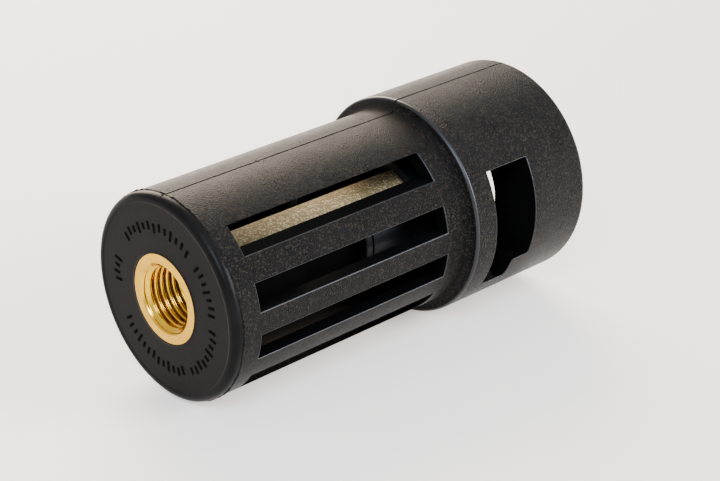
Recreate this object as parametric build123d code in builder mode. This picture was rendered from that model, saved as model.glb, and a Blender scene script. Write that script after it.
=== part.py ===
from build123d import *
import math
import os

# Pressure-washer adapter: a push-and-twist bayonet socket at one end, an internal pipe thread at the
# other. Millimetres. The axis is +Y, the origin is the middle of the thread's mouth on the front face,
# and the bayonet socket opens towards +Y. Angles are measured about the axis from +Z towards +X.

os.makedirs("parts", exist_ok=True)

# ---- housing: one moulding
LENGTH = 89.5
BODY_R = 19.9              # slotted body
COLLAR_LENGTH = 31.5
COLLAR_STEP = 2.3          # how far the collar stands out from the body
FRONT_WALL = 6.1           # also where the slots start
BODY_WALL = 3.0
FRONT_RIM_FILLET = 1.4
COLLAR_EDGE_FILLET = 0.5
COLLAR_ROOT_FILLET = 1.2
REAR_EDGE_FILLET = 1.5
BULKHEAD_SETBACK = 0.5     # the bulkhead's inner face stands this far in front of the collar
SLOT_SETBACK = 5.6         # from the slots' rear ends to the collar
CENTRE_BAR_SHARE = 0.226   # heights as shares of the body's radius: strip between the middle slots,
MIDDLE_SLOT_SHARE = 0.254  # middle slot,
SIDE_BAR_SHARE = 0.219     # strip between a middle slot and an outer one,
OUTER_SLOT_SHARE = 0.226   # outer slot
SOCKET_ROOM = 4.1          # radial, from the barrel to the socket's bore
SOCKET_LEAD_IN = 0.8
SOCKET_MOUTH_STEP = 0.2    # the mouth is this much wider than the bore, for the plug's own collar
SOCKET_MOUTH_SETBACK = 0.4 # from the spigot's tip to the mouth's step

# ---- bayonet window, on both sides of the collar
WINDOW_SETBACK = 5.5       # from the collar's front
WINDOW_WIDTH = 11.0        # along the axis, at the deep end where the plug's ear rests
TRACK_WIDTH = 6.5          # along the axis, in the narrow track that leads there
WINDOW_TOP_SHARE = 0.5     # heights as shares of the collar's radius
WINDOW_STEP_SHARE = -0.408
WINDOW_BOTTOM_SHARE = -0.595
WINDOW_INNER_X = 6.0       # the window's cut starts inside the bore
LANE_WALL = 2.9            # collar wall outside an entry lane
LANE_MIDDLE = 147.0        # degrees
LANE_WIDTH = 42.0          # degrees

# ---- brass insert
BARREL_R = 7.1
HEAD_STEP = 1.55           # how far the head stands out from the barrel
HEAD_LENGTH = 13.0
HEAD_TAPER = 1.0
FLANGE_STEP = 1.55         # moulded into the front wall, so the insert can't turn or pull out
FLANGE_START = 2.4
FLANGE_THICK = 1.8
FLANGE_NOTCHES = 8
FLANGE_NOTCH_R = 0.9
TIP_STEP = 0.6             # how far the tip is turned down from the barrel
TIP_PAST_SLEEVE = 6.4
TIP_CHAMFER = 0.7
THREAD_MINOR_R = 5.722     # G1/4, 19 threads to the inch
THREAD_MOUTH_CHAMFER = 0.35
THREAD_DEPTH = 12.5
CORE_BORE_R = 3.5

# ---- cradle round the barrel, part of the housing
BOSS_STEP = 1.95           # from the insert's head
BOSS_END = 12.0
CRADLE_HALF_ANGLE = 35.0
CRADLE_WALL = 1.15
CRADLE_SETBACK = 9.5       # from the cradle's end to the bulkhead
CHEEK_STEP = 2.4           # from the insert's head
CHEEK_END = 24.0

# ---- thrust sleeve
SLEEVE_WALL = 1.72
SLEEVE_PAST_COLLAR = 13.8  # from the collar's front to the sleeve's rear face
SLEEVE_RING_LENGTH = 17.0
PRONG_LENGTH = 15.3
SLEEVE_BACK = 2.0
PRONG_LIP = 1.5            # bead at the prong's front end
PRONG_GROOVE = 0.5
PRONG_GROOVE_DEPTH = 0.35
PRONG_EDGE_FILLET = 0.3
SLEEVE_TRAVEL = 4.5        # how far the plug pushes it before it can be turned

# ---- small parts
WASHER_THICK = 0.8
SPRING_WIRE = 0.9
SPRING_TURNS = 3.5
SPRING_RESERVE = 0.45      # left between the turns at full travel
RING_STAND_OUT = 1.4       # how far the circlip stands out from the tip
RING_THICK = 0.9
RING_GROOVE_DEPTH = 0.7
RING_GAP = 40.0            # degrees
ORING_SECTION = 1.8
ORING_STAND_OUT = 0.2
BACKUP_THICK = 1.0
SEAL_GROOVE_DEPTH = 1.55
SEAL_GROOVE_WALL = 1.2     # between the circlip's groove and the seal's
SEAL_GROOVE_SLACK = 0.3
SEAL_THICK = 1.5
SEAL_SEAT_DEPTH = 0.68     # undercut that holds the inlet seal, radial from the thread's tips
SEAL_SEAT_RUNOUT = 0.2     # from the thread's end to the seal

# ---- clearances
RUNNING = 0.06             # radial, between parts that slide on each other
SLIDE_GAP = 0.08           # radial, between the sleeve and the socket bore
CRADLE_GAP = 0.05          # radial, between the cradle and the barrel
STOP_GAP = 0.1             # between the sleeve and the circlip at rest
WASHER_GAP = 0.3           # radial, between the washer and the sleeve
SEAL_GAP = 0.12            # radial, round the inlet seal

# ---- radii
COLLAR_R = BODY_R + COLLAR_STEP
CAVITY_R = BODY_R - BODY_WALL
LANE_R = COLLAR_R - LANE_WALL
SOCKET_BORE_R = BARREL_R + SOCKET_ROOM
SOCKET_MOUTH_R = SOCKET_BORE_R + SOCKET_MOUTH_STEP
SLEEVE_R = SOCKET_BORE_R - SLIDE_GAP
SLEEVE_BORE_R = SLEEVE_R - SLEEVE_WALL
HEAD_R = BARREL_R + HEAD_STEP
FLANGE_R = HEAD_R + FLANGE_STEP
BOSS_R = HEAD_R + BOSS_STEP
CHEEK_R = HEAD_R + CHEEK_STEP
CRADLE_BORE_R = BARREL_R + CRADLE_GAP
CRADLE_R = CRADLE_BORE_R + CRADLE_WALL
TIP_R = BARREL_R - TIP_STEP
SEAL_SEAT_R = THREAD_MINOR_R + SEAL_SEAT_DEPTH
RING_GROOVE_R = TIP_R - RING_GROOVE_DEPTH
SEAL_GROOVE_R = TIP_R - SEAL_GROOVE_DEPTH
SPRING_MEAN_R = (TIP_R + SLEEVE_BORE_R) / 2

# ---- places along the axis
COLLAR_START = LENGTH - COLLAR_LENGTH
BULKHEAD_Y = COLLAR_START - BULKHEAD_SETBACK
SLOT_END = COLLAR_START - SLOT_SETBACK
CRADLE_END = BULKHEAD_Y - CRADLE_SETBACK
WINDOW_START = COLLAR_START + WINDOW_SETBACK
WINDOW_END = WINDOW_START + WINDOW_WIDTH
TRACK_END = WINDOW_START + TRACK_WIDTH
SLEEVE_END = COLLAR_START + SLEEVE_PAST_COLLAR
SLEEVE_RING_START = SLEEVE_END - SLEEVE_RING_LENGTH
PRONG_START = SLEEVE_RING_START - PRONG_LENGTH
CUP_BOTTOM = SLEEVE_END - SLEEVE_BACK
SPRING_SOLID = (SPRING_TURNS + 1) * SPRING_WIRE
SPRING_LENGTH = SLEEVE_TRAVEL + SPRING_SOLID + SPRING_RESERVE
WASHER_END = CUP_BOTTOM - SPRING_LENGTH
STEP_Y = WASHER_END - WASHER_THICK
RING_START = SLEEVE_END + STOP_GAP
RING_GROOVE_END = RING_START + RING_THICK + RUNNING
SEAL_GROOVE_START = RING_GROOVE_END + SEAL_GROOVE_WALL
BACKUP_END = SEAL_GROOVE_START + BACKUP_THICK
SEAL_GROOVE_END = BACKUP_END + ORING_SECTION + SEAL_GROOVE_SLACK
TIP_Y = SLEEVE_END + TIP_PAST_SLEEVE
SOCKET_MOUTH_START = TIP_Y + SOCKET_MOUTH_SETBACK
THREAD_END = THREAD_DEPTH - SEAL_THICK - SEAL_SEAT_RUNOUT


def ring_profile(inner, outer, start, end):
    """A rectangle in the open sketch that turns into a ring about the axis."""
    with Locations(((inner + outer) / 2, (start + end) / 2)):
        Rectangle(outer - inner, end - start)


def sector_block(half_angle, middle_angle, start, end, radius):
    """A wedge about the axis that reaches past the given radius, to keep or cut part of a ring."""
    reach = radius / math.cos(math.radians(half_angle)) + 1
    corners = [(0, 0)]
    for degrees in (middle_angle - half_angle, middle_angle, middle_angle + half_angle):
        angle = math.radians(degrees)
        corners.append((reach * math.sin(angle), reach * math.cos(angle)))
    with BuildPart(mode=Mode.PRIVATE) as wedge:
        with BuildSketch(Plane.XZ.offset(-start)):
            with BuildLine():
                Polyline(*corners, close=True)
            make_face()
        extrude(amount=start - end)
    return wedge.part


def save(piece, name):
    piece.part.label = name
    export_step(piece.part, "parts/" + name + ".step")
    print(name, round(piece.part.volume, 1), "mm3,", len(piece.part.solids()), "solid")


# ---- the housing
with BuildPart() as housing:
    with BuildSketch(Plane.XY):
        with BuildLine():
            Polyline(
                (0, 0),
                (BODY_R, 0),
                (BODY_R, COLLAR_START),
                (COLLAR_R, COLLAR_START),
                (COLLAR_R, LENGTH),
                (0, LENGTH),
                close=True,
            )
        make_face()
    revolve(axis=Axis.Y)
    circles = housing.edges().filter_by(GeomType.CIRCLE)
    front_rim = circles.filter_by(lambda e: abs(e.radius - BODY_R) < 0.01).sort_by(Axis.Y)
    fillet(front_rim[0], FRONT_RIM_FILLET)
    circles = housing.edges().filter_by(GeomType.CIRCLE)
    root = circles.filter_by(lambda e: abs(e.radius - BODY_R) < 0.01).sort_by(Axis.Y)
    fillet(root[-1], COLLAR_ROOT_FILLET)
    circles = housing.edges().filter_by(GeomType.CIRCLE)
    collar_edges = circles.filter_by(lambda e: abs(e.radius - COLLAR_R) < 0.01).sort_by(Axis.Y)
    fillet(collar_edges[0], COLLAR_EDGE_FILLET)
    circles = housing.edges().filter_by(GeomType.CIRCLE)
    collar_edges = circles.filter_by(lambda e: abs(e.radius - COLLAR_R) < 0.01).sort_by(Axis.Y)
    fillet(collar_edges[-1], REAR_EDGE_FILLET)

    # hollow: cavity behind the slots, then the socket bore
    with BuildSketch(Plane.XY):
        with BuildLine():
            Polyline(
                (0, FRONT_WALL),
                (CAVITY_R, FRONT_WALL),
                (CAVITY_R, BULKHEAD_Y),
                (SOCKET_BORE_R, BULKHEAD_Y),
                (SOCKET_BORE_R, SOCKET_MOUTH_START),
                (SOCKET_MOUTH_R, SOCKET_MOUTH_START),
                (SOCKET_MOUTH_R, LENGTH - SOCKET_LEAD_IN),
                (SOCKET_MOUTH_R + SOCKET_LEAD_IN, LENGTH),
                (0, LENGTH),
                close=True,
            )
        make_face()
    revolve(axis=Axis.Y, mode=Mode.SUBTRACT)

    # four slots a side, cut straight through both sides
    slot_middle = (FRONT_WALL + SLOT_END) / 2
    slot_length = SLOT_END - FRONT_WALL
    middle_height = MIDDLE_SLOT_SHARE * BODY_R
    outer_height = OUTER_SLOT_SHARE * BODY_R
    middle_z = (CENTRE_BAR_SHARE * BODY_R + middle_height) / 2
    outer_z = middle_z + (middle_height + outer_height) / 2 + SIDE_BAR_SHARE * BODY_R
    with BuildSketch(Plane.YZ):
        with Locations((slot_middle, middle_z), (slot_middle, -middle_z)):
            Rectangle(slot_length, middle_height)
        with Locations((slot_middle, outer_z), (slot_middle, -outer_z)):
            Rectangle(slot_length, outer_height)
    extrude(amount=2 * BODY_R, both=True, mode=Mode.SUBTRACT)

    # boss behind the front wall, and the cradle and cheeks each side of the barrel
    with BuildSketch(Plane.XY):
        ring_profile(HEAD_R, BOSS_R, FRONT_WALL, BOSS_END)
    revolve(axis=Axis.Y)

# the cradle stands each side of the barrel, so it is a ring cut down to two sectors
cradle_start = HEAD_LENGTH + HEAD_TAPER
with BuildPart() as cradle:
    with BuildSketch(Plane.XY):
        ring_profile(CRADLE_BORE_R, CRADLE_R, cradle_start, CRADLE_END)
        ring_profile(CRADLE_BORE_R, CHEEK_R, cradle_start, CHEEK_END)
        ring_profile(HEAD_R, CHEEK_R, FRONT_WALL, cradle_start)
    revolve(axis=Axis.Y)
    keep = [sector_block(CRADLE_HALF_ANGLE, side, FRONT_WALL, CRADLE_END, CHEEK_R) for side in (90, 270)]
    add(keep, mode=Mode.INTERSECT)

with housing:
    add(cradle.part)
    # the moulded-in brass head
    with BuildSketch(Plane.XY):
        ring_profile(0, HEAD_R, 0, FRONT_WALL)
        ring_profile(0, FLANGE_R, FLANGE_START, FLANGE_START + FLANGE_THICK)
    revolve(axis=Axis.Y, mode=Mode.SUBTRACT)

    # bayonet windows, each with its deep end and its narrow track
    window_top = WINDOW_TOP_SHARE * COLLAR_R
    window_step = WINDOW_STEP_SHARE * COLLAR_R
    window_bottom = WINDOW_BOTTOM_SHARE * COLLAR_R
    for side in (0, 180):
        with BuildSketch(Plane.YZ.rotated((0, side, 0)).offset(WINDOW_INNER_X)):
            with BuildLine():
                Polyline(
                    (WINDOW_START, window_top),
                    (WINDOW_END, window_top),
                    (WINDOW_END, window_step),
                    (TRACK_END, window_step),
                    (TRACK_END, window_bottom),
                    (WINDOW_START, window_bottom),
                    close=True,
                )
            make_face()
        extrude(amount=COLLAR_R, mode=Mode.SUBTRACT)

# the lanes that a plug's ears come in by
with BuildPart() as lanes:
    with BuildSketch(Plane.XY):
        ring_profile(SOCKET_BORE_R - 1, LANE_R, WINDOW_START, LENGTH + 1)
    revolve(axis=Axis.Y)
    keep = [
        sector_block(LANE_WIDTH / 2, LANE_MIDDLE + side, WINDOW_START, LENGTH + 1, LANE_R)
        for side in (0, 180)
    ]
    add(keep, mode=Mode.INTERSECT)

with housing:
    add(lanes.part, mode=Mode.SUBTRACT)

# ---- the brass insert
with BuildPart() as inlet_core:
    with BuildSketch(Plane.XY):
        with BuildLine():
            Polyline(
                (0, 0),
                (HEAD_R, 0),
                (HEAD_R, FLANGE_START),
                (FLANGE_R, FLANGE_START),
                (FLANGE_R, FLANGE_START + FLANGE_THICK),
                (HEAD_R, FLANGE_START + FLANGE_THICK),
                (HEAD_R, HEAD_LENGTH),
                (BARREL_R, HEAD_LENGTH + HEAD_TAPER),
                (BARREL_R, STEP_Y),
                (TIP_R, STEP_Y),
                (TIP_R, RING_START),
                (RING_GROOVE_R, RING_START),
                (RING_GROOVE_R, RING_GROOVE_END),
                (TIP_R, RING_GROOVE_END),
                (TIP_R, SEAL_GROOVE_START),
                (SEAL_GROOVE_R, SEAL_GROOVE_START),
                (SEAL_GROOVE_R, SEAL_GROOVE_END),
                (TIP_R, SEAL_GROOVE_END),
                (TIP_R, TIP_Y - TIP_CHAMFER),
                (TIP_R - TIP_CHAMFER, TIP_Y),
                (0, TIP_Y),
                close=True,
            )
        make_face()
    revolve(axis=Axis.Y)
    with BuildSketch(Plane.XY):
        with BuildLine():
            Polyline(
                (0, 0),
                (THREAD_MINOR_R + THREAD_MOUTH_CHAMFER, 0),
                (THREAD_MINOR_R, THREAD_MOUTH_CHAMFER),
                (THREAD_MINOR_R, THREAD_END),
                (SEAL_SEAT_R, THREAD_END),
                (SEAL_SEAT_R, THREAD_DEPTH),
                (CORE_BORE_R, THREAD_DEPTH),
                (CORE_BORE_R, TIP_Y),
                (0, TIP_Y),
                close=True,
            )
        make_face()
    revolve(axis=Axis.Y, mode=Mode.SUBTRACT)

# notches round the flange, which the plastic fills
notch_centres = []
for index in range(FLANGE_NOTCHES):
    angle = math.radians(360 * index / FLANGE_NOTCHES)
    notch_centres.append((FLANGE_R * math.sin(angle), FLANGE_R * math.cos(angle)))
with BuildPart() as notches:
    with BuildSketch(Plane.XZ.offset(-FLANGE_START)):
        with Locations(*notch_centres):
            Circle(FLANGE_NOTCH_R)
        Circle(HEAD_R, mode=Mode.SUBTRACT)
        Circle(FLANGE_R, mode=Mode.INTERSECT)
    extrude(amount=-FLANGE_THICK)
with inlet_core:
    add(notches.part, mode=Mode.SUBTRACT)
with housing:
    add(notches.part)

# ---- flat seal at the bottom of the thread
with BuildPart() as inlet_seal:
    with BuildSketch(Plane.XY):
        ring_profile(CORE_BORE_R, SEAL_SEAT_R - SEAL_GAP, THREAD_DEPTH - SEAL_THICK, THREAD_DEPTH)
    revolve(axis=Axis.Y)

# ---- washer that carries the spring's fixed end
with BuildPart() as seat_washer:
    with BuildSketch(Plane.XY):
        ring_profile(TIP_R, SLEEVE_BORE_R - WASHER_GAP, STEP_Y, WASHER_END)
    revolve(axis=Axis.Y)

# ---- thrust sleeve: a cup on the barrel's tip, with a prong each side that reaches forward
with BuildPart() as thrust_sleeve:
    with BuildSketch(Plane.XY):
        groove_start = PRONG_START + PRONG_LIP
        with BuildLine():
            Polyline(
                (SLEEVE_BORE_R, PRONG_START),
                (SLEEVE_R, PRONG_START),
                (SLEEVE_R, groove_start),
                (SLEEVE_R - PRONG_GROOVE_DEPTH, groove_start),
                (SLEEVE_R - PRONG_GROOVE_DEPTH, groove_start + PRONG_GROOVE),
                (SLEEVE_R, groove_start + PRONG_GROOVE),
                (SLEEVE_R, SLEEVE_END),
                (TIP_R + RUNNING, SLEEVE_END),
                (TIP_R + RUNNING, CUP_BOTTOM),
                (SLEEVE_BORE_R, CUP_BOTTOM),
                close=True,
            )
        make_face()
    revolve(axis=Axis.Y)
    front = thrust_sleeve.edges().filter_by(GeomType.CIRCLE).group_by(Axis.Y)[0]
    fillet(front.sort_by(SortBy.RADIUS)[-1], PRONG_EDGE_FILLET)
    gap_half = 90 - CRADLE_HALF_ANGLE
    gaps = [sector_block(gap_half, side, PRONG_START, SLEEVE_RING_START, SLEEVE_R) for side in (0, 180)]
    add(gaps, mode=Mode.SUBTRACT)

# ---- spring between the washer and the sleeve
wire_r = SPRING_WIRE / 2
helix_height = SPRING_LENGTH - SPRING_WIRE
with BuildPart() as thrust_spring:
    with BuildLine():
        coil = Helix(
            pitch=helix_height / SPRING_TURNS,
            height=helix_height,
            radius=SPRING_MEAN_R,
            center=(0, WASHER_END + wire_r, 0),
            direction=(0, 1, 0),
        )
    with BuildSketch(Plane(origin=coil @ 0, z_dir=coil % 0)):
        Circle(wire_r)
    sweep()

# ---- circlip that stops the sleeve
ring_r = TIP_R + RING_STAND_OUT
with BuildPart() as retaining_ring:
    with BuildSketch(Plane.XY):
        ring_profile(RING_GROOVE_R, ring_r, RING_START, RING_START + RING_THICK)
    revolve(axis=Axis.Y)
    add(sector_block(RING_GAP / 2, 180, RING_START, RING_START + RING_THICK, ring_r), mode=Mode.SUBTRACT)

# ---- seals on the tip
with BuildPart() as backup_ring:
    with BuildSketch(Plane.XY):
        ring_profile(SEAL_GROOVE_R, TIP_R, SEAL_GROOVE_START, BACKUP_END)
    revolve(axis=Axis.Y)

with BuildPart() as spigot_oring:
    with BuildSketch(Plane.XY):
        oring_r = (TIP_R + ORING_STAND_OUT - SEAL_GROOVE_R) / 2
        with Locations((SEAL_GROOVE_R + oring_r, BACKUP_END + ORING_SECTION / 2)):
            Ellipse(oring_r, ORING_SECTION / 2)
    revolve(axis=Axis.Y)

save(housing, "housing")
save(inlet_core, "inlet_core")
save(inlet_seal, "inlet_seal")
save(seat_washer, "seat_washer")
save(thrust_spring, "thrust_spring")
save(thrust_sleeve, "thrust_sleeve")
save(retaining_ring, "retaining_ring")
save(backup_ring, "backup_ring")
save(spigot_oring, "spigot_oring")
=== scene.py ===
import math

import bmesh
import bpy
from mathutils import Matrix, Vector, noise


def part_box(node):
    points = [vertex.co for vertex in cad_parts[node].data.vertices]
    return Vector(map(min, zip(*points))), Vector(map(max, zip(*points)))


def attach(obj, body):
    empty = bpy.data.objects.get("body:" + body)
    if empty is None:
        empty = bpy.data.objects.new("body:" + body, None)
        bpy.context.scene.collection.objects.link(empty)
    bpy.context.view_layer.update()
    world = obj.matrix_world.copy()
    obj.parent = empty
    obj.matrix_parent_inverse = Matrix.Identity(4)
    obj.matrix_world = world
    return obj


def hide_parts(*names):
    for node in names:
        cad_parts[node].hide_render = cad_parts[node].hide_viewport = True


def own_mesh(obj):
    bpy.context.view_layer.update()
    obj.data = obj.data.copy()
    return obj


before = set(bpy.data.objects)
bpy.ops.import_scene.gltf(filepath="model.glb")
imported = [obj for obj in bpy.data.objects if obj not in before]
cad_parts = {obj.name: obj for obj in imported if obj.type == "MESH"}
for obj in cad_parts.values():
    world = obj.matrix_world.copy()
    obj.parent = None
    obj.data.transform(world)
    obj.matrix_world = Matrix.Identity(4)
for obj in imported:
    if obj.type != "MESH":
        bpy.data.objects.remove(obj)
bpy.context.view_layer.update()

# A round adapter on its side. Sizes are in millimetres here and become metres in the meshes. The axis
# is Y, the front face with the pipe thread is at y = 0, and angles go from +Z towards +X about the axis.
MM = 0.001

housing_low, housing_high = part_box("housing")
LENGTH = housing_high.y / MM
COLLAR_R = min(housing_high.x, -housing_low.x) / MM
COLLAR_STEP = 2.3
BODY_R = COLLAR_R - COLLAR_STEP
COLLAR_LENGTH = 31.5
COLLAR_START = LENGTH - COLLAR_LENGTH
SLOT_START = 6.1
SLOT_END = COLLAR_START - 5.6
SLOT_HEIGHTS = [(0.113, 0.367), (0.586, 0.812)]     # shares of the body's radius, each also mirrored
WALL = 3.0
CAVITY_R = BODY_R - WALL
BULKHEAD = COLLAR_START - 0.5
SOCKET_R = 11.2
MOUTH_R = 11.4
MOUTH_START = 78.6
WINDOW_START = COLLAR_START + 5.5
WINDOW_END = WINDOW_START + 11.0
TRACK_END = WINDOW_START + 6.5
WINDOW_TOP = 0.5 * COLLAR_R
WINDOW_STEP = -0.408 * COLLAR_R
WINDOW_BOTTOM = -0.595 * COLLAR_R
LANE_R = COLLAR_R - 2.9
LANE_ANGLES = (126.0, 168.0)

TIP_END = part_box("inlet_core")[1].y / MM
HEAD_R = 8.65
BARREL_R = 7.1
TIP_R = 6.5
FLANGE_R = 10.2
CLIP_R = 5.8                                        # bottom of the circlip's groove
RING_R = 4.95                                       # bottom of the O-ring's groove
MINOR_R = 5.722                                     # of a G1/4 thread, 19 turns to the inch
MAJOR_R = 6.579
PITCH = 1.337
COUNTERSINK_R = 6.85
THREAD_END = 10.8
WATER_R = 3.5


# ---------------------------------------------------------------- meshes

def piece_from(bm, name):
    """Makes an object of a finished bmesh."""
    mesh = bpy.data.meshes.new(name)
    bm.to_mesh(mesh)
    bm.free()
    piece = bpy.data.objects.new(name, mesh)
    bpy.context.scene.collection.objects.link(piece)
    return piece


def close_up(bm, gap=2e-6):
    bmesh.ops.remove_doubles(bm, verts=bm.verts, dist=gap)
    bmesh.ops.dissolve_degenerate(bm, edges=bm.edges, dist=gap)
    bmesh.ops.recalc_face_normals(bm, faces=bm.faces)


def soften(piece, degrees=40.0, weighted=True):
    """Smooth shading that breaks at edges sharper than this."""
    bm = bmesh.new()
    bm.from_mesh(piece.data)
    limit = math.radians(degrees)
    for face in bm.faces:
        face.smooth = True
    for edge in bm.edges:
        edge.smooth = len(edge.link_faces) == 2 and edge.calc_face_angle() < limit
    bm.to_mesh(piece.data)
    bm.free()
    if weighted:
        normals = piece.modifiers.new("even_shading", "WEIGHTED_NORMAL")
        normals.keep_sharp = True
        normals.weight = 60


def even_angles(steps, start=0.0, end=360.0):
    return [start + (end - start) * index / steps for index in range(steps + 1)]


def angles_around(edges, widest=2.0, clear=0.8):
    """Angles right round, with no boundary nearer than this to the angles where an edge will be cut."""
    marks = [0.0]
    for edge in sorted(edges):
        for mark in (edge - clear, edge + clear):
            if mark - marks[-1] > 0.5 * clear:
                marks.append(mark)
    marks.append(360.0)
    full = []
    for start, end in zip(marks, marks[1:]):
        full += even_angles(max(1, math.ceil((end - start) / widest)), start, end)[:-1]
    return full + [360.0]


def turn(bm, outline, angles, closed=True, rise=0.0):
    """Spins an outline of (radius, place along the axis) through the angles, climbing by rise a turn."""
    first = Matrix.Rotation(math.radians(angles[0]), 3, "Y")
    corners = [bm.verts.new(first @ Vector((0, y * MM, r * MM))) for r, y in outline]
    ends = corners[1:] + corners[:1] if closed else corners[1:]
    last = corners + [bm.edges.new(pair) for pair in zip(corners, ends)]
    made = list(corners)
    for start, end in zip(angles, angles[1:]):
        step = bmesh.ops.spin(
            bm, geom=last, cent=(0, 0, 0), axis=(0, 1, 0), steps=1,
            angle=math.radians(end - start), dvec=(0, rise * MM * (end - start) / 360, 0),
        )
        last = step["geom_last"]
        made += [part for part in last if isinstance(part, bmesh.types.BMVert)]
    return made


def wedge(bm, outline, start, end, steps=24):
    """A closed outline swept through part of a turn, with both its ends closed."""
    first = Matrix.Rotation(math.radians(start), 3, "Y")
    corners = [bm.verts.new(first @ Vector((0, y * MM, r * MM))) for r, y in outline]
    face = bm.faces.new(corners)
    bmesh.ops.spin(
        bm, geom=[face] + list(face.edges) + corners, cent=(0, 0, 0), axis=(0, 1, 0),
        steps=steps, angle=math.radians(end - start),
    )


def prism(bm, outline, low_x, high_x):
    """A closed outline of (y, z) pushed along X."""
    corners = [bm.verts.new((low_x * MM, y * MM, z * MM)) for y, z in outline]
    face = bm.faces.new(corners)
    pushed = bmesh.ops.extrude_face_region(bm, geom=[face], use_keep_orig=True)
    moved = [part for part in pushed["geom"] if isinstance(part, bmesh.types.BMVert)]
    bmesh.ops.translate(bm, verts=moved, vec=((high_x - low_x) * MM, 0, 0))


def block(bm, low, high):
    size = [(b - a) * MM for a, b in zip(low, high)]
    middle = [(b + a) / 2 * MM for a, b in zip(low, high)]
    place = Matrix.Translation(middle) @ Matrix.Diagonal((*size, 1))
    bmesh.ops.create_cube(bm, size=1.0, matrix=place)


def arc(centre, radius, start, end, steps):
    """Points on an arc in the (radius, y) or (y, z) plane, by angle from the first axis."""
    points = []
    for angle in even_angles(steps, start, end):
        turned = math.radians(angle)
        points.append((centre[0] + radius * math.cos(turned), centre[1] + radius * math.sin(turned)))
    return points


def rounded(outline, radii, steps=4):
    """A closed outline with some of its corners rounded."""
    points = []
    for index, (corner, radius) in enumerate(zip(outline, radii)):
        here = Vector(corner)
        before = (Vector(outline[index - 1]) - here).normalized()
        after = (Vector(outline[(index + 1) % len(outline)]) - here).normalized()
        if radius == 0:
            points.append(corner)
            continue
        for step in range(steps + 1):
            share = step / steps
            blend = before * radius * (1 - share) ** 2 + after * radius * share ** 2
            points.append(tuple(here + blend))
    return points


def cut(piece, cutter_bm, name):
    """Takes the cutter's shape out of the piece for good."""
    close_up(cutter_bm)
    cutter = piece_from(cutter_bm, name)
    step = piece.modifiers.new(name, "BOOLEAN")
    step.operation = "DIFFERENCE"
    step.solver = "EXACT"
    step.object = cutter
    bpy.context.view_layer.update()
    view = piece.evaluated_get(bpy.context.evaluated_depsgraph_get())
    mesh = bpy.data.meshes.new_from_object(view)
    piece.modifiers.clear()
    old = piece.data
    piece.data = mesh
    bpy.data.meshes.remove(old)
    bpy.data.objects.remove(cutter)


def settle(piece, body, slot, finish, *nodes):
    """Names what a piece rides on, is made of and stands for."""
    piece.data.materials.clear()
    piece.data.materials.append(finish)
    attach(piece, body)
    if nodes:
        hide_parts(*nodes)
    return piece


# ---------------------------------------------------------------- finishes

def tree_node(tree, kind, inputs=None, **settings):
    """Adds a node. An input is a value or another node's output."""
    node = tree.nodes.new(kind)
    for key, value in settings.items():
        setattr(node, key, value)
    for key, value in (inputs or {}).items():
        socket = node.inputs[key]
        if isinstance(value, bpy.types.NodeSocket):
            tree.links.new(value, socket)
        else:
            socket.default_value = value
    return node


def math_node(tree, operation, first, second=0.0, clamp=False):
    node = tree_node(tree, "ShaderNodeMath", {0: first, 1: second}, operation=operation)
    node.use_clamp = clamp
    return node.outputs[0]


def ramp(tree, value, low, high, to_low=0.0, to_high=1.0):
    node = tree_node(
        tree, "ShaderNodeMapRange",
        {"Value": value, "From Min": low, "From Max": high, "To Min": to_low, "To Max": to_high},
    )
    return node.outputs[0]


def blend_colours(tree, share, first, second):
    node = tree.nodes.new("ShaderNodeMix")
    node.data_type = "RGBA"
    for index, value in ((0, share), (6, first), (7, second)):
        if isinstance(value, bpy.types.NodeSocket):
            tree.links.new(value, node.inputs[index])
        else:
            node.inputs[index].default_value = value
    return node.outputs[2]


def open_group(name, inputs, outputs):
    group = bpy.data.node_groups.new(name, "ShaderNodeTree")
    for label, kind, value in inputs:
        socket = group.interface.new_socket(name=label, in_out="INPUT", socket_type=kind)
        if value is not None:
            socket.default_value = value
    for label, kind in outputs:
        group.interface.new_socket(name=label, in_out="OUTPUT", socket_type=kind)
    return group, group.nodes.new("NodeGroupInput"), group.nodes.new("NodeGroupOutput")


def make_grain_group():
    """Spark-eroded or blasted skin: a bumpy height, scattered bright flecks and a slow mottle."""
    group, given, out = open_group(
        "skin_grain",
        [("Place", "NodeSocketVector", None), ("Cells per metre", "NodeSocketFloat", 3000.0),
         ("Fleck share", "NodeSocketFloat", 0.1)],
        [("Height", "NodeSocketFloat"), ("Fleck", "NodeSocketFloat"), ("Mottle", "NodeSocketFloat")],
    )
    place, cells = given.outputs["Place"], given.outputs["Cells per metre"]
    pits = tree_node(group, "ShaderNodeTexVoronoi", {"Vector": place, "Scale": cells})
    rough = tree_node(
        group, "ShaderNodeTexNoise",
        {"Vector": place, "Scale": math_node(group, "MULTIPLY", cells, 1.3), "Detail": 2.0},
    )
    height = math_node(
        group, "ADD",
        math_node(group, "MULTIPLY", pits.outputs["Distance"], 1.2),
        math_node(group, "MULTIPLY", rough.outputs["Fac"], 0.6),
    )
    hue = tree_node(group, "ShaderNodeSeparateColor", {"Color": pits.outputs["Color"]})
    edge = math_node(group, "SUBTRACT", 1.0, given.outputs["Fleck share"])
    fleck = math_node(group, "GREATER_THAN", hue.outputs[0], edge)
    slow = tree_node(group, "ShaderNodeTexNoise", {"Vector": place, "Scale": 160.0, "Detail": 4.0})
    group.links.new(height, out.inputs["Height"])
    group.links.new(fleck, out.inputs["Fleck"])
    group.links.new(slow.outputs["Fac"], out.inputs["Mottle"])
    return group


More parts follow.
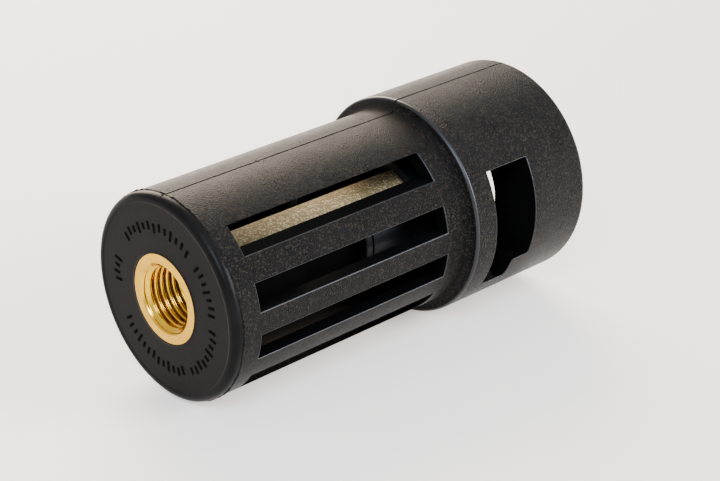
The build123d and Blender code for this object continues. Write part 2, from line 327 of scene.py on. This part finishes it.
def make_band_group():
    """1 between two places along the axis, 0 outside, with soft ends."""
    group, given, out = open_group(
        "band_along_axis",
        [("Place", "NodeSocketVector", None), ("Start", "NodeSocketFloat", 0.0),
         ("End", "NodeSocketFloat", 1.0), ("Softness", "NodeSocketFloat", 0.0002)],
        [("Mask", "NodeSocketFloat")],
    )
    along = tree_node(group, "ShaderNodeSeparateXYZ", {0: given.outputs["Place"]}).outputs["Y"]
    soft = given.outputs["Softness"]
    after = math_node(
        group, "DIVIDE", math_node(group, "SUBTRACT", along, given.outputs["Start"]), soft, clamp=True)
    before = math_node(
        group, "DIVIDE", math_node(group, "SUBTRACT", given.outputs["End"], along), soft, clamp=True)
    group.links.new(math_node(group, "MULTIPLY", after, before), out.inputs["Mask"])
    return group


def make_turning_group():
    """Fine lathe marks that run round the axis."""
    group, given, out = open_group(
        "turning_marks",
        [("Place", "NodeSocketVector", None), ("Marks per metre", "NodeSocketFloat", 9000.0)],
        [("Height", "NodeSocketFloat"), ("Shade", "NodeSocketFloat")],
    )
    axes = tree_node(group, "ShaderNodeSeparateXYZ", {0: given.outputs["Place"]})
    squares = math_node(
        group, "ADD",
        math_node(group, "POWER", axes.outputs["X"], 2.0),
        math_node(group, "POWER", axes.outputs["Z"], 2.0),
    )
    radius = math_node(group, "SQRT", squares)
    flat = tree_node(group, "ShaderNodeCombineXYZ", {"X": radius, "Y": axes.outputs["Y"], "Z": 0.0})
    marks = tree_node(
        group, "ShaderNodeTexNoise",
        {"Vector": flat.outputs[0], "Scale": given.outputs["Marks per metre"], "Detail": 2.0},
    )
    broad = tree_node(
        group, "ShaderNodeTexNoise",
        {"Vector": given.outputs["Place"], "Scale": 420.0, "Detail": 3.0},
    )
    group.links.new(marks.outputs["Fac"], out.inputs["Height"])
    group.links.new(broad.outputs["Fac"], out.inputs["Shade"])
    return group


GRAIN = make_grain_group()
BAND = make_band_group()
TURNING = make_turning_group()


def place_group(tree, group, inputs):
    node = tree.nodes.new("ShaderNodeGroup")
    node.node_tree = group
    for key, value in inputs.items():
        if isinstance(value, bpy.types.NodeSocket):
            tree.links.new(value, node.inputs[key])
        else:
            node.inputs[key].default_value = value
    return node


def new_finish(name, **settings):
    """A material with one shader, its fixed values set on the shader itself."""
    finish = bpy.data.materials.new(name)
    finish.use_nodes = True
    tree = finish.node_tree
    tree.nodes.clear()
    shader = tree.nodes.new("ShaderNodeBsdfPrincipled")
    out = tree.nodes.new("ShaderNodeOutputMaterial")
    tree.links.new(shader.outputs["BSDF"], out.inputs["Surface"])
    for key, value in settings.items():
        shader.inputs[key.replace("_", " ")].default_value = value
    place = tree.nodes.new("ShaderNodeTexCoord").outputs["Object"]
    return finish, tree, shader, place


def add_bump(tree, shader, height, depth, strength=1.0):
    bump = tree_node(tree, "ShaderNodeBump", {"Height": height, "Distance": depth, "Strength": strength})
    tree.links.new(bump.outputs["Normal"], shader.inputs["Normal"])


def make_black_nylon():
    finish, tree, shader, place = new_finish("black_nylon")
    grain = place_group(
        tree, GRAIN, {"Place": place, "Cells per metre": 3700.0, "Fleck share": 0.16})
    smooth_rim = place_group(
        tree, BAND, {"Place": place, "Start": -0.001, "End": 0.0021, "Softness": 0.0003})
    rim = smooth_rim.outputs["Mask"]
    grained = math_node(tree, "SUBTRACT", 1.0, rim)
    tree.links.new(ramp(tree, rim, 0.0, 1.0, 0.038, 0.040), shader.inputs["Specular IOR Level"])
    height = math_node(
        tree, "MULTIPLY", grain.outputs["Height"], ramp(tree, grained, 0.0, 1.0, 0.12, 1.0))
    add_bump(tree, shader, height, 0.00012)
    mottle = ramp(tree, grain.outputs["Mottle"], 0.3, 0.7)
    base = blend_colours(tree, mottle, (0.0028, 0.0026, 0.0025, 1), (0.0052, 0.0049, 0.0046, 1))
    fleck = math_node(tree, "MULTIPLY", grain.outputs["Fleck"], grained)
    colour = blend_colours(tree, fleck, base, (0.0165, 0.0130, 0.0095, 1))
    tree.links.new(colour, shader.inputs["Base Color"])
    roughness = ramp(tree, grained, 0.0, 1.0, 0.34, 0.30)
    varied = math_node(tree, "ADD", roughness, ramp(tree, mottle, 0.0, 1.0, -0.04, 0.05))
    tree.links.new(varied, shader.inputs["Roughness"])
    return finish


def make_shade_and_mark_nylon():
    """A darker nylon with almost no sheen, for the inside, the slots' walls and the face marks. Its
    darker colour is painted shade inside the housing, on the slots' walls and in the grooves. On the
    face marks it is their own darker colour.
    """
    finish, tree, shader, place = new_finish("shade_and_mark_nylon", Specular_IOR_Level=0.006)
    grain = place_group(tree, GRAIN, {"Place": place, "Cells per metre": 1800.0, "Fleck share": 0.0})
    add_bump(tree, shader, grain.outputs["Height"], 0.00001)
    mottle = grain.outputs["Mottle"]
    # Darker than the outer skin: painted shade inside the housing, the marks' own colour on the face.
    colour = blend_colours(tree, mottle, (0.0012, 0.0012, 0.0013, 1), (0.0024, 0.0023, 0.0023, 1))
    tree.links.new(colour, shader.inputs["Base Color"])
    tree.links.new(ramp(tree, mottle, 0.2, 0.8, 0.5, 0.62), shader.inputs["Roughness"])
    return finish


def make_edge_sheen_nylon():
    """A smoother nylon with more sheen, for the eased edges of slots, windows and collar. Its bluer,
    lighter colour is a painted sheen.
    """
    finish, tree, shader, place = new_finish("edge_sheen_nylon", Specular_IOR_Level=0.3)
    grain = place_group(tree, GRAIN, {"Place": place, "Cells per metre": 2400.0, "Fleck share": 0.0})
    add_bump(tree, shader, grain.outputs["Height"], 0.00001)
    mottle = grain.outputs["Mottle"]
    # Bluer and lighter than the skin: a painted sheen along the edges.
    colour = blend_colours(tree, mottle, (0.0035, 0.0038, 0.0046, 1), (0.0060, 0.0064, 0.0078, 1))
    tree.links.new(colour, shader.inputs["Base Color"])
    tree.links.new(ramp(tree, mottle, 0.2, 0.8, 0.30, 0.42), shader.inputs["Roughness"])
    return finish


def make_black_acetal():
    finish, tree, shader, place = new_finish("black_acetal", Specular_IOR_Level=0.12)
    grain = place_group(tree, GRAIN, {"Place": place, "Cells per metre": 1500.0, "Fleck share": 0.0})
    add_bump(tree, shader, grain.outputs["Height"], 0.000006)
    mottle = grain.outputs["Mottle"]
    colour = blend_colours(tree, mottle, (0.0028, 0.0028, 0.0034, 1), (0.0055, 0.0055, 0.0066, 1))
    tree.links.new(colour, shader.inputs["Base Color"])
    tree.links.new(ramp(tree, mottle, 0.2, 0.8, 0.28, 0.42), shader.inputs["Roughness"])
    return finish


def make_brass():
    finish, tree, shader, place = new_finish("brass", Specular_IOR_Level=0.05)
    blasted = place_group(
        tree, BAND, {"Place": place, "Start": 0.0125, "End": 0.0590, "Softness": 0.0003}).outputs["Mask"]
    grain = place_group(tree, GRAIN, {"Place": place, "Cells per metre": 3600.0, "Fleck share": 0.25})
    marks = place_group(tree, TURNING, {"Place": place, "Marks per metre": 9000.0})
    blast_height = math_node(tree, "MULTIPLY", grain.outputs["Height"], blasted)
    polished = math_node(tree, "SUBTRACT", 1.0, blasted)
    mark_height = math_node(
        tree, "MULTIPLY", marks.outputs["Height"], ramp(tree, polished, 0, 1, 0, 0.03))
    add_bump(tree, shader, math_node(tree, "ADD", blast_height, mark_height), 0.00006)
    shade = ramp(tree, marks.outputs["Shade"], 0.3, 0.7)
    bright = blend_colours(tree, shade, (0.60, 0.32, 0.015, 1), (0.70, 0.41, 0.035, 1))
    # The blasted barrel is darker towards the inlet, to even out this scene's light on it.
    along = tree_node(tree, "ShaderNodeSeparateXYZ", {0: place}).outputs["Y"]
    fleck = grain.outputs["Fleck"]
    dull = blend_colours(
        tree, ramp(tree, along, 0.010, 0.042),
        blend_colours(tree, fleck, (0.036, 0.027, 0.013, 1), (0.080, 0.063, 0.033, 1)),
        blend_colours(tree, fleck, (0.42, 0.315, 0.155, 1), (0.86, 0.70, 0.41, 1)),
    )
    tree.links.new(math_node(tree, "SUBTRACT", 1.0, blasted), shader.inputs["Metallic"])
    tree.links.new(blend_colours(tree, blasted, bright, dull), shader.inputs["Base Color"])
    shine = ramp(tree, shade, 0.0, 1.0, 0.16, 0.26)
    tree.links.new(
        math_node(tree, "ADD", shine, math_node(tree, "MULTIPLY", blasted, 0.45)),
        shader.inputs["Roughness"])
    return finish


def make_stainless():
    finish, tree, shader, place = new_finish("stainless", Metallic=1.0)
    marks = place_group(tree, TURNING, {"Place": place, "Marks per metre": 6000.0})
    add_bump(tree, shader, marks.outputs["Height"], 0.000008)
    shade = marks.outputs["Shade"]
    colour = blend_colours(tree, shade, (0.50, 0.50, 0.51, 1), (0.70, 0.70, 0.71, 1))
    tree.links.new(colour, shader.inputs["Base Color"])
    tree.links.new(ramp(tree, shade, 0.2, 0.8, 0.22, 0.40), shader.inputs["Roughness"])
    return finish


def make_rubber():
    finish, tree, shader, place = new_finish("seal_rubber")
    grain = place_group(tree, GRAIN, {"Place": place, "Cells per metre": 5000.0, "Fleck share": 0.03})
    add_bump(tree, shader, grain.outputs["Height"], 0.00001)
    mottle = grain.outputs["Mottle"]
    colour = blend_colours(tree, mottle, (0.012, 0.012, 0.012, 1), (0.028, 0.027, 0.026, 1))
    tree.links.new(colour, shader.inputs["Base Color"])
    tree.links.new(ramp(tree, mottle, 0.2, 0.8, 0.55, 0.75), shader.inputs["Roughness"])
    return finish


def make_ptfe():
    finish, tree, shader, place = new_finish("white_ptfe", Subsurface_Weight=0.1)
    marks = place_group(tree, TURNING, {"Place": place, "Marks per metre": 5000.0})
    add_bump(tree, shader, marks.outputs["Height"], 0.00001)
    colour = blend_colours(tree, marks.outputs["Shade"], (0.74, 0.74, 0.71, 1), (0.86, 0.86, 0.84, 1))
    tree.links.new(colour, shader.inputs["Base Color"])
    tree.links.new(ramp(tree, marks.outputs["Shade"], 0.2, 0.8, 0.35, 0.5), shader.inputs["Roughness"])
    return finish


black_nylon = make_black_nylon()
shade_and_mark_nylon = make_shade_and_mark_nylon()
edge_sheen_nylon = make_edge_sheen_nylon()
black_acetal = make_black_acetal()
brass = make_brass()
stainless = make_stainless()
seal_rubber = make_rubber()
white_ptfe = make_ptfe()


# ---------------------------------------------------------------- the housing

def cut_angles():
    """Where the slots' and windows' edges meet the outer skins."""
    right = []
    for shares in SLOT_HEIGHTS:
        for share in shares:
            right += [math.degrees(math.acos(share)), math.degrees(math.acos(-share))]
    for height in (WINDOW_TOP, WINDOW_STEP, WINDOW_BOTTOM):
        right.append(math.degrees(math.acos(height / COLLAR_R)))
    return sorted(right) + [angle + 180 for angle in sorted(right)]


def housing_outline():
    rim, edge, root, rear = 1.4, 0.6, 1.2, 1.5
    points = [
        (HEAD_R, 0.0), (HEAD_R + 0.35, 0.0), (HEAD_R + 0.5, 0.1),
        (BODY_R - 1.9, 0.1), (BODY_R - 1.75, 0.0),
    ]
    points += arc((BODY_R - rim, rim), rim, -90, 0, 8)
    points += arc((BODY_R + root, COLLAR_START - root), root, 180, 90, 6)
    points += arc((COLLAR_R - edge, COLLAR_START + edge), edge, -90, 0, 5)
    points += arc((COLLAR_R - rear, LENGTH - rear), rear, 0, 90, 8)
    points += [
        (MOUTH_R + 0.8, LENGTH), (MOUTH_R, LENGTH - 0.8), (MOUTH_R, MOUTH_START),
        (SOCKET_R, MOUTH_START), (SOCKET_R, BULKHEAD), (CAVITY_R, BULKHEAD),
        (CAVITY_R, SLOT_START), (10.6, SLOT_START), (10.6, 12.0), (HEAD_R, 12.0),
    ]
    return points


def window_outline(side):
    corners = [
        (WINDOW_START, WINDOW_TOP), (WINDOW_END, WINDOW_TOP), (WINDOW_END, WINDOW_STEP),
        (TRACK_END, WINDOW_STEP), (TRACK_END, WINDOW_BOTTOM), (WINDOW_START, WINDOW_BOTTOM),
    ]
    points = rounded(corners, (0, 0.35, 0.7, 0.6, 1.1, 0.3))
    return [(y, z * side) for y, z in points]


INNER_SHADE, EDGE_SHEEN = 1, 2                                 # slots of the housing's second and third finish: painted shade inside, painted sheen on eased edges


def make_housing():
    bm = bmesh.new()
    turn(bm, housing_outline(), angles_around(cut_angles()))
    close_up(bm)
    shell = piece_from(bm, "housing_shell")

    slots = bmesh.new()
    for low, high in SLOT_HEIGHTS:
        for side in (1, -1):
            z = sorted((side * low * BODY_R, side * high * BODY_R))
            block(slots, (-25, SLOT_START, z[0]), (25, SLOT_END, z[1]))
    cut(shell, slots, "slot_cutter")

    windows = bmesh.new()
    for side in (1, -1):
        low_x, high_x = sorted((side * 6.0, side * 26.0))
        prism(windows, window_outline(side), low_x, high_x)
    cut(shell, windows, "window_cutter")

    lanes = bmesh.new()
    lane = [
        (SOCKET_R - 1, WINDOW_START), (LANE_R, WINDOW_START),
        (LANE_R, LENGTH + 1), (SOCKET_R - 1, LENGTH + 1),
    ]
    for half_turn in (0, 180):
        wedge(lanes, lane, LANE_ANGLES[0] + half_turn, LANE_ANGLES[1] + half_turn)
    cut(shell, lanes, "lane_cutter")

    runs = (0.9, COLLAR_START - 0.4, BODY_R), (COLLAR_START - 0.2, LENGTH + 0.2, COLLAR_R)
    grooves = bmesh.new()
    for side in (1, -1):
        for start, end, radius in runs:
            z = sorted((side * (radius - 0.5), side * (radius + 0.5)))
            block(grooves, (-0.17, start, z[0]), (0.17, end, z[1]))
    cut(shell, grooves, "groove_cutter")

    bm = bmesh.new()
    bm.from_mesh(shell.data)
    bmesh.ops.remove_doubles(bm, verts=bm.verts, dist=1e-6)
    lips = []
    for line in bm.edges:
        if len(line.link_faces) != 2 or line.calc_face_angle() < math.radians(35):
            continue
        ends = [Vector((v.co.x, v.co.z)).length / MM for v in line.verts]
        places = [v.co.y / MM for v in line.verts]
        away = min(abs(v.co.x) for v in line.verts) / MM > 0.5
        by_slot = SLOT_START - 0.1 < min(places) and max(places) < SLOT_END + 0.1
        on_body = min(ends) > BODY_R - 0.05 and by_slot
        by_window = WINDOW_START - 0.1 < min(places) and max(places) < WINDOW_END + 0.1
        on_collar = min(ends) > COLLAR_R - 0.05 and by_window
        if away and (on_body or on_collar):
            lips.append(line)
    bmesh.ops.bevel(
        bm, geom=lips, offset=0.2 * MM, offset_type="OFFSET", segments=3, profile=0.5,
        affect="EDGES", clamp_overlap=True, material=-1, loop_slide=True,
    )
    bm.to_mesh(shell.data)
    bm.free()
    soften(shell)
    settle(shell, "housing", "black_nylon", black_nylon, "housing")
    shell.data.materials.append(shade_and_mark_nylon)
    shell.data.materials.append(edge_sheen_nylon)
    for face in shell.data.polygons:
        middle = face.center / MM
        reach = Vector((middle.x, middle.z)).length
        skin = BODY_R if middle.y < COLLAR_START + 0.3 else COLLAR_R
        outside = reach > skin - 0.45 or middle.y < 1.5 or middle.y > LENGTH - 1.6
        in_groove = abs(middle.x) < 0.2 and skin - 0.6 < reach < skin - 0.02
        by_slot = SLOT_START - 0.3 < middle.y < SLOT_END + 0.3
        by_window = WINDOW_START - 0.3 < middle.y < WINDOW_END + 0.3
        eased = (by_slot or by_window) and skin - 0.25 < reach < skin - 0.012
        collar_edge = 0.02 < middle.y - COLLAR_START < 0.58 and COLLAR_R - 0.6 < reach < COLLAR_R - 0.01
        # The inside, the slots' walls and the parting line's groove get the darker nylon: painted shade.
        if in_groove or not outside:
            face.material_index = INNER_SHADE
        # Eased edges and the collar's front edge get the bluer nylon: painted sheen.
        elif eased or collar_edge:
            face.material_index = EDGE_SHEEN
    return shell


def make_cradle():
    """The ribs each side of the barrel that carry it."""
    outline = [
        (HEAD_R, SLOT_START - 0.2), (11.05, SLOT_START - 0.2), (11.05, 24.0), (8.3, 24.0), (8.3, 48.0),
        (BARREL_R + 0.05, 48.0), (BARREL_R + 0.05, 14.05), (HEAD_R, 13.05),
    ]
    bm = bmesh.new()
    for middle in (90, 270):
        wedge(bm, outline, middle - 35, middle + 35, 28)
    close_up(bm)
    cradle = piece_from(bm, "barrel_cradle")
    soften(cradle)
    # The cradle gets the darker nylon as painted shade.
    return settle(cradle, "housing", "black_nylon", shade_and_mark_nylon, "housing")


def make_rim_flash():
    """The torn line that the mould leaves behind the smooth front rim."""
    bm = bmesh.new()
    outline = [(BODY_R - 0.2, 1.6), (BODY_R + 0.16, 1.9), (BODY_R + 0.12, 2.15), (BODY_R - 0.2, 2.4)]
    turn(bm, outline, even_angles(480))
    bmesh.ops.remove_doubles(bm, verts=bm.verts, dist=1e-6)
    for corner in bm.verts:
        angle = math.atan2(corner.co.x, corner.co.z)
        around = Vector((math.sin(angle), math.cos(angle), 0.3))
        wander = noise.noise(around * 9) * 0.22 + noise.noise(around * 34) * 0.16
        ragged = noise.noise(around * 52 + Vector((3, 1, 4))) * 0.20 + noise.noise(around * 15) * 0.10
        proud = Vector((corner.co.x, corner.co.z)).length > BODY_R * MM
        corner.co.y += wander * MM
        if proud:
            corner.co.x += math.sin(angle) * ragged * MM
            corner.co.z += math.cos(angle) * ragged * MM
    bmesh.ops.recalc_face_normals(bm, faces=bm.faces)
    flash = piece_from(bm, "rim_flash")
    soften(flash, 60, weighted=False)
    return settle(flash, "housing", "black_nylon", black_nylon)


def make_face_marks():
    """A plain ring of raised strokes on the front face, long and short by turns like a scale's."""
    groups = ((-47, 33), (47, 84), (98, 150), (162, 236), (268, 286))
    bm = bmesh.new()
    for start, end in groups:
        count = round((end - start) / 6.4)
        for index in range(count + 1):
            angle = start + (end - start) * index / count
            inner = 13.1 if index % 3 else 12.6
            outer = 14.7 if index % 2 else 14.4
            stroke = bmesh.ops.create_cube(
                bm, size=1.0,
                matrix=Matrix.Rotation(math.radians(angle), 4, "Y")
                @ Matrix.Translation((0, 0.07 * MM, (inner + outer) / 2 * MM))
                @ Matrix.Diagonal((0.55 * MM, 0.12 * MM, (outer - inner) * MM, 1)),
            )
            sides = {side for corner in stroke["verts"] for side in corner.link_edges}
            bmesh.ops.bevel(
                bm, geom=list(sides), offset=0.04 * MM, segments=2, profile=0.5,
                affect="EDGES", material=-1,
            )
    close_up(bm, 1e-7)
    marks = piece_from(bm, "face_marks")
    soften(marks, 50)
    return settle(marks, "housing", "black_nylon", shade_and_mark_nylon)


# ---------------------------------------------------------------- the brass insert

def thread_outline():
    """A Whitworth profile repeated along the axis, from before the mouth to past the thread's end."""
    depth = MAJOR_R - MINOR_R
    one_turn = [
        (0.0, 0.0), (0.064, 0.025), (0.112, 0.10), (0.25, 0.5), (0.388, 0.90), (0.436, 0.975),
        (0.5, 1.0), (0.564, 0.975), (0.612, 0.90), (0.75, 0.5), (0.888, 0.10), (0.936, 0.025),
    ]
    points = []
    for index in range(10):
        for along, inward in one_turn:
            points.append((MAJOR_R - depth * inward, -1.2 * PITCH + PITCH * (index + along)))
    return points


def make_core():
    steps = even_angles(120)
    bottom_r = MAJOR_R + 0.03
    bm = bmesh.new()
    for corner in turn(bm, thread_outline(), steps, closed=False, rise=PITCH):
        along = min(max(corner.co.y / MM, 0.0), THREAD_END)
        radius = Vector((corner.co.x, corner.co.z)).length / MM
        opened = max(radius, COUNTERSINK_R - along, bottom_r - (THREAD_END - along))
        corner.co.x *= opened / radius
        corner.co.z *= opened / radius
        corner.co.y = along * MM
    outline = [
        (COUNTERSINK_R, 0.0), (HEAD_R - 0.18, 0.0), (HEAD_R - 0.05, 0.06), (HEAD_R, 0.2),
        (HEAD_R, 2.4), (FLANGE_R, 2.4), (FLANGE_R, 4.2), (HEAD_R, 4.2), (HEAD_R, 12.8),
        (HEAD_R - 0.2, 13.05), (BARREL_R + 0.1, 13.95), (BARREL_R, 14.1), (BARREL_R, 59.8),
        (BARREL_R - 0.2, 60.0),
        (TIP_R, 60.0), (TIP_R, 71.9), (CLIP_R, 71.9), (CLIP_R, 72.86), (TIP_R, 72.86),
        (TIP_R, 74.06), (RING_R, 74.06), (RING_R, 77.16), (TIP_R, 77.16), (TIP_R, TIP_END - 0.7),
        (TIP_R - 0.7, TIP_END), (WATER_R + 0.3, TIP_END), (WATER_R, TIP_END - 0.3),
        (WATER_R, 12.5), (bottom_r, 12.5), (bottom_r, THREAD_END),
    ]
    turn(bm, outline, steps, closed=False)
    close_up(bm)
    core = piece_from(bm, "threaded_core")
    soften(core, 42)
    return settle(core, "housing", "brass", brass, "inlet_core")


# ---------------------------------------------------------------- the small parts

def refined(node, body, slot, finish, degrees=35.0):
    """A merged copy of a small CAD part, smooth-shaded but for its sharp edges."""
    bm = bmesh.new()
    bm.from_mesh(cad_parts[node].data)
    bmesh.ops.remove_doubles(bm, verts=bm.verts, dist=2e-6)
    bmesh.ops.recalc_face_normals(bm, faces=bm.faces)
    copy = piece_from(bm, node + "_fine")
    soften(copy, degrees, weighted=False)
    return settle(copy, body, slot, finish, node)


make_housing()
make_cradle()
make_rim_flash()
make_face_marks()
make_core()
refined("inlet_seal", "housing", "seal_rubber", seal_rubber)
refined("seat_washer", "housing", "stainless", stainless)
refined("retaining_ring", "housing", "stainless", stainless)
refined("backup_ring", "housing", "white_ptfe", white_ptfe)
refined("spigot_oring", "housing", "seal_rubber", seal_rubber)
refined("thrust_sleeve", "thrust_sleeve", "black_acetal", black_acetal)
spring = refined("thrust_spring", "housing", "stainless", stainless)
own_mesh(spring)


# ---------------------------------------------------------------- floor, light and camera

MIDDLE = Vector((0, 0.045, 0))


def make_floor():
    """The adapter rests on the flash behind its rim and on the collar's edge, so the floor tilts."""
    front = Vector((0, 1.9, -BODY_R - 0.3)) * MM    # clear of the flash underneath
    rear = Vector((0, COLLAR_START + 0.6, -COLLAR_R)) * MM
    slope = math.atan2(rear.z - front.z, rear.y - front.y)
    bm = bmesh.new()
    bmesh.ops.create_grid(bm, x_segments=8, y_segments=8, size=3.0)
    tilt = Matrix.Translation(front) @ Matrix.Rotation(slope, 4, "X")
    bmesh.ops.transform(bm, matrix=tilt, verts=bm.verts)
    floor = piece_from(bm, "floor")
    finish, tree, shader, place = new_finish(
        "pale_floor", Roughness=0.55, Specular_IOR_Level=0.3,
        Emission_Color=(1.0, 0.90, 0.81, 1), Emission_Strength=0.58)
    shade = tree_node(tree, "ShaderNodeTexNoise", {"Vector": place, "Scale": 9.0, "Detail": 2.0})
    share = ramp(tree, shade.outputs["Fac"], 0.35, 0.65)
    colour = blend_colours(tree, share, (0.66, 0.615, 0.565, 1), (0.685, 0.645, 0.60, 1))
    tree.links.new(colour, shader.inputs["Base Color"])
    floor.data.materials.append(finish)


def add_lamp(name, direction, distance, size, watts, colour):
    lamp = bpy.data.lights.new(name, "AREA")
    lamp.shape = "DISK"
    lamp.size = size
    lamp.energy = watts
    lamp.color = colour
    holder = bpy.data.objects.new(name, lamp)
    toward = Vector(direction).normalized()
    holder.location = MIDDLE + toward * distance
    holder.rotation_euler = toward.to_track_quat("Z", "Y").to_euler()
    bpy.context.scene.collection.objects.link(holder)


def make_light():
    """A warm key from behind, a cool lamp by the camera, a sheen from the right, and a soft room."""
    add_lamp("key_from_behind", (-0.75, 0.38, 0.42), 0.9, 0.75, 24.0, (1.0, 0.85, 0.68))
    add_lamp("fill_by_camera", (0.5, -0.6, 0.65), 0.9, 0.35, 14.0, (0.70, 0.83, 1.0))
    add_lamp("sheen_from_right", (0.78, 0.52, 0.35), 0.9, 0.5, 21.0, (0.90, 0.93, 1.0))
    world = bpy.data.worlds.new("soft_room")
    world.use_nodes = True
    sky = world.node_tree.nodes["Background"]
    sky.inputs["Color"].default_value = (0.95, 0.96, 1.0, 1)
    sky.inputs["Strength"].default_value = 1.2
    bpy.context.scene.world = world


def make_camera():
    """Stands in front, to the right and above, rolled a little."""
    azimuth, elevation, roll = (math.radians(a) for a in (47.27, 24.81, -1.22))
    level = math.cos(elevation)
    back = Vector((math.sin(azimuth) * level, -math.cos(azimuth) * level, math.sin(elevation)))
    right = Vector((math.cos(azimuth), math.sin(azimuth), 0))
    up = back.cross(right)
    right, up = (
        right * math.cos(roll) + up * math.sin(roll),
        up * math.cos(roll) - right * math.sin(roll),
    )
    lens = bpy.data.cameras.new("camera")
    lens.lens = 93.1
    lens.sensor_width = 36
    lens.clip_start = 0.01
    camera = bpy.data.objects.new("camera", lens)
    place = Vector((0, 37.84, 0)) + back * 356.03 + right * 7.513 - up * 0.811
    turned = Matrix((right, up, back)).transposed().to_4x4()
    camera.matrix_world = Matrix.Translation(place * MM) @ turned
    bpy.context.scene.collection.objects.link(camera)
    bpy.context.scene.camera = camera


make_floor()
make_light()
make_camera()
